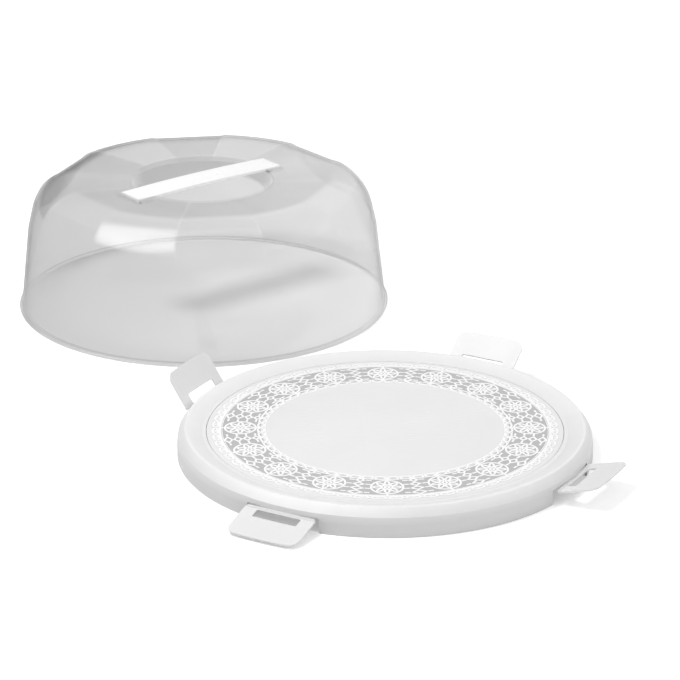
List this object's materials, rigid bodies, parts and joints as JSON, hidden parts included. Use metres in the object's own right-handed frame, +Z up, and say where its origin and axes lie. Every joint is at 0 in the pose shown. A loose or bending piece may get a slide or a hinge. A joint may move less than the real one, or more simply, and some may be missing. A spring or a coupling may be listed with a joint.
{
  "type": "cake carrier",
  "caption": "Round cake carrier: flat frosted tray with hinged edge latches and a printed serving disc, clear panelled dome lid beside it with a flat white carrying strap",
  "frame": {"origin": "centre of the tray at the level of the table that it stands on", "axes": "+X to the right as seen from the front, +Y towards the back, where the dome stands, +Z up"},
  "size_m": [0.5086, 0.6908, 0.1174],
  "materials": {
    "frosted_plastic": "frosted polypropylene, pale grey white, slightly translucent",
    "disc_plastic": "printed white plastic sheet with a pale grey lace ring",
    "clear_plastic": "clear moulded styrene with a faint grey cast",
    "white_plastic": "smooth white polypropylene"
  },
  "bodies": {
    "tray": {"tray_base": "frosted_plastic", "serving_disc": "disc_plastic"},
    "dome": {"dome_lid": "clear_plastic", "carry_handle": "white_plastic"},
    "latch_front_left": {"latch_front_left": "frosted_plastic"},
    "latch_right": {"latch_right": "frosted_plastic"},
    "latch_back_right": {"latch_back_right": "frosted_plastic"},
    "latch_back_left": {"latch_back_left": "frosted_plastic"}
  },
  "joints": [
    {"name": "dome_lift", "type": "slide", "parent": "tray", "child": "dome", "axis": [0, 0, 1], "range_m": [0, 0.16]},
    {"name": "latch_front_left_hinge", "type": "hinge", "parent": "tray", "child": "latch_front_left", "pos_m": [-0.08014, -0.14458, 0.0114], "axis": [-0.8746, 0.4848, 0], "range_deg": [-2.5, 109]},
    {"name": "latch_right_hinge", "type": "hinge", "parent": "tray", "child": "latch_right", "pos_m": [0.14458, -0.08014, 0.0114], "axis": [-0.4848, -0.8746, 0], "range_deg": [-32.5, 79]},
    {"name": "latch_back_right_hinge", "type": "hinge", "parent": "tray", "child": "latch_back_right", "pos_m": [0.08014, 0.14458, 0.0114], "axis": [0.8746, -0.4848, 0], "range_deg": [-52.5, 59]},
    {"name": "latch_back_left_hinge", "type": "hinge", "parent": "tray", "child": "latch_back_left", "pos_m": [-0.14458, 0.08014, 0.0114], "axis": [0.4848, 0.8746, 0], "range_deg": [-72.5, 39]}
  ]
}
